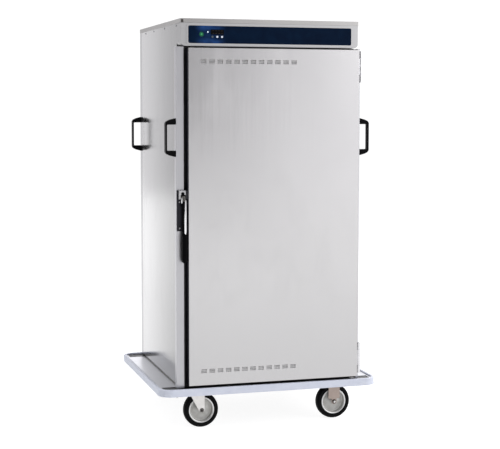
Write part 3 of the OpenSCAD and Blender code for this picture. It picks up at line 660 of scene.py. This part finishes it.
# Louvre blades just behind the vent slots of the door.
bm = bmesh.new()
skin_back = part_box("door_skin")[0].y + 0.0016
for row in ("vent_slide_bottom", "vent_slide_top"):
    v_lo, v_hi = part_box(row)
    for group in range(12):
        x = v_lo.x + 0.020 + 0.0358 * group
        for step in (-0.006, 0.0, 0.006):
            z = (v_lo.z + v_hi.z) / 2 + step
            loft(bm, [[Vector((x + side_x, skin_back + dy, z + dz))
                       for dy, dz in ((0.0, -0.0026), (0.0006, -0.0026), (0.0050, 0.0026), (0.0044, 0.0026))]
                      for side_x in (-0.0135, 0.0, 0.0135)])
tidy(bm)
piece("vent_louvres", bm, louvre, "door", smooth=False)

# Screws of the hinge straps.
bm = bmesh.new()
s_lo, s_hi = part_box("hinge_straps")
for z0, z1 in ((s_lo.z, s_lo.z + 0.068), (s_hi.z - 0.068, s_hi.z)):
    for z in (z0 + 0.010, (z0 + z1) / 2, z1 - 0.010):
        dome_screw(bm, (s_lo.x + 0.002, -0.4075, z), (1, 0, 0), r=0.0034, h=0.0016)
tidy(bm)
piece("hinge_strap_screws", bm, fastener, "door", smooth=False)

# Indicator lamp and a dim generic read-out.
d_lo, d_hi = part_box("display_window")
bm = bmesh.new()
lathe_y(bm, [(2.6 * mm, 0.0), (2.5 * mm, -0.0006), (1.8 * mm, -0.0012), (0.0, -0.0015)], (-0.275, d_lo.y, 1.680), 24)
tidy(bm)
piece("indicator_lamp", bm, led_white, "cabinet")
bm = bmesh.new()
for i in range(4):
    x0 = -0.2555 + 0.0125 * i
    for z0 in (1.6745, 1.6855):
        rings = []
        for y, k in ((d_lo.y + 0.0002, 1.0), (d_lo.y - 0.0003, 0.8)):
            rings.append([Vector((x0 + 0.0036 + hx2 * k, y, z0 + hz2 * k))
                          for hx2, hz2 in ((-0.0036, 0), (-0.003, -0.0006), (0.003, -0.0006), (0.0036, 0), (0.003, 0.0006), (-0.003, 0.0006))])
        loft(bm, rings)
tidy(bm)
readout = Mat("readout", rough=0.35)
readout.color(readout.ramp(readout.noise(700), (0.3, (0.012, 0.002, 0.002)), (0.7, (0.02, 0.003, 0.003))))
piece("readout_bars", bm, readout, "cabinet")


# ---------------------------------------------------------------- stage, light, camera

floor_mat = Mat("studio_floor", rough=0.9)
floor_mat.color(floor_mat.ramp(floor_mat.noise(3), (0.3, (0.34, 0.34, 0.34)), (0.7, (0.36, 0.36, 0.36))))
floor_mat.set("Emission Color", (1, 1, 1, 1))
_ray = floor_mat.t.nodes.new("ShaderNodeLightPath").outputs["Is Camera Ray"]
_far = floor_mat.math("SQRT", floor_mat.math("ADD", floor_mat.math("MULTIPLY", floor_mat.axis("X"), floor_mat.axis("X")),
                                             floor_mat.math("MULTIPLY", floor_mat.axis("Y"), floor_mat.axis("Y"))))
_lit = floor_mat.span(_far, 1.6, 6.5, 0.66, 0.80)
_lit = floor_mat.math("ADD", _lit, floor_mat.math("MULTIPLY", _ray, floor_mat.math("SUBTRACT", 0.89, _lit)))
floor_mat.link(_lit, floor_mat.b.inputs["Emission Strength"])
bm = bmesh.new()
bmesh.ops.create_grid(bm, x_segments=4, y_segments=4, size=14.0)
mesh = bpy.data.meshes.new("studio_floor")
bm.to_mesh(mesh)
bm.free()
mesh.materials.append(floor_mat.m)
floor = bpy.data.objects.new("studio_floor", mesh)
bpy.context.scene.collection.objects.link(floor)

world = bpy.data.worlds.new("studio")
world.use_nodes = True
wt = world.node_tree
wt.nodes.clear()
w_out = wt.nodes.new("ShaderNodeOutputWorld")
w_bg = wt.nodes.new("ShaderNodeBackground")
w_white = wt.nodes.new("ShaderNodeBackground")
w_mix = wt.nodes.new("ShaderNodeMixShader")
w_path = wt.nodes.new("ShaderNodeLightPath")
w_co = wt.nodes.new("ShaderNodeTexCoord")
w_sep = wt.nodes.new("ShaderNodeSeparateXYZ")
wt.links.new(w_co.outputs["Generated"], w_sep.inputs[0])


def w_math(op, a, b=0.0):
    n = wt.nodes.new("ShaderNodeMath")
    n.operation = op
    for i, v in enumerate((a, b)):
        if isinstance(v, (int, float)):
            n.inputs[i].default_value = v
        else:
            wt.links.new(v, n.inputs[i])
    return n.outputs[0]


def w_span(value, lo, hi, a=0.0, b=1.0):
    n = wt.nodes.new("ShaderNodeMapRange")
    n.interpolation_type = "SMOOTHSTEP"
    wt.links.new(value, n.inputs["Value"])
    n.inputs["From Min"].default_value = lo
    n.inputs["From Max"].default_value = hi
    n.inputs["To Min"].default_value = a
    n.inputs["To Max"].default_value = b
    return n.outputs["Result"]


# Azimuth is 0 toward -Y and grows toward +X.
azimuth = w_math("ARCTAN2", w_sep.outputs["X"], w_math("MULTIPLY", w_sep.outputs["Y"], -1.0))
right = w_span(azimuth, math.radians(7), math.radians(25), 0.02, 1.53)
low = w_span(w_sep.outputs["Z"], -0.070, -0.03, 1.0, 0.0)
low_level = w_span(azimuth, math.radians(-25), math.radians(5), 0.66, 1.50)
right = w_math("ADD", right, w_math("MULTIPLY", low, w_math("SUBTRACT", low_level, right)))
back = w_span(w_sep.outputs["Y"], -0.1, 0.5, 0.0, 0.84)
level = w_math("MAXIMUM", right, back)
height = w_span(w_sep.outputs["Z"], 0.15, 0.9, 0.0, 0.35)
level = w_math("ADD", level, height)
wt.links.new(level, w_bg.inputs["Strength"])
w_bg.inputs["Color"].default_value = (0.99, 0.98, 1.0, 1)
w_white.inputs["Color"].default_value = (1, 1, 1, 1)
w_white.inputs["Strength"].default_value = 1.05
wt.links.new(w_path.outputs["Is Camera Ray"], w_mix.inputs[0])
wt.links.new(w_bg.outputs[0], w_mix.inputs[1])
wt.links.new(w_white.outputs[0], w_mix.inputs[2])
wt.links.new(w_mix.outputs[0], w_out.inputs[0])
bpy.context.scene.world = world


def softbox(name, place, aim, size, power, color=(1, 1, 1)):
    data = bpy.data.lights.new(name, "AREA")
    data.shape = "RECTANGLE"
    data.size, data.size_y = size
    data.energy = power
    data.color = color
    o = bpy.data.objects.new(name, data)
    o.location = place
    o.rotation_euler = (Vector(aim) - Vector(place)).to_track_quat("-Z", "Y").to_euler()
    bpy.context.scene.collection.objects.link(o)
    return o


softbox("key", (3.6, -4.6, 3.0), (0, 0, 0.8), (2.4, 2.4), 45)
softbox("fill", (-4.2, -1.5, 2.6), (0, 0, 0.7), (2.2, 2.4), 22, (0.94, 0.97, 1.0))
softbox("top", (0, -0.3, 4.4), (0, 0, 1.0), (2.6, 2.6), 25)

PITCH, YAW, ROLL = -0.0756, 0.2855, 0.0012
cam_data = bpy.data.cameras.new("camera")
cam_data.sensor_fit = "HORIZONTAL"
cam_data.sensor_width = 36.0
cam_data.lens = 1282.6 / 500 * 36.0
cam_data.shift_y = -0.04
cam = bpy.data.objects.new("camera", cam_data)
look = Vector((math.sin(YAW) * math.cos(PITCH), math.cos(YAW) * math.cos(PITCH), math.sin(PITCH)))
side = Vector((math.cos(YAW), -math.sin(YAW), 0))
up = side.cross(look)
rx = side * math.cos(ROLL) + up * math.sin(ROLL)
ux = up * math.cos(ROLL) - side * math.sin(ROLL)
m = Matrix((rx, ux, -look)).transposed().to_4x4()
m.translation = Vector((-1.6127, -5.5939, 1.3690))
cam.matrix_world = m
bpy.context.scene.collection.objects.link(cam)
bpy.context.scene.camera = cam
bpy.context.scene.view_settings.view_transform = "Standard"
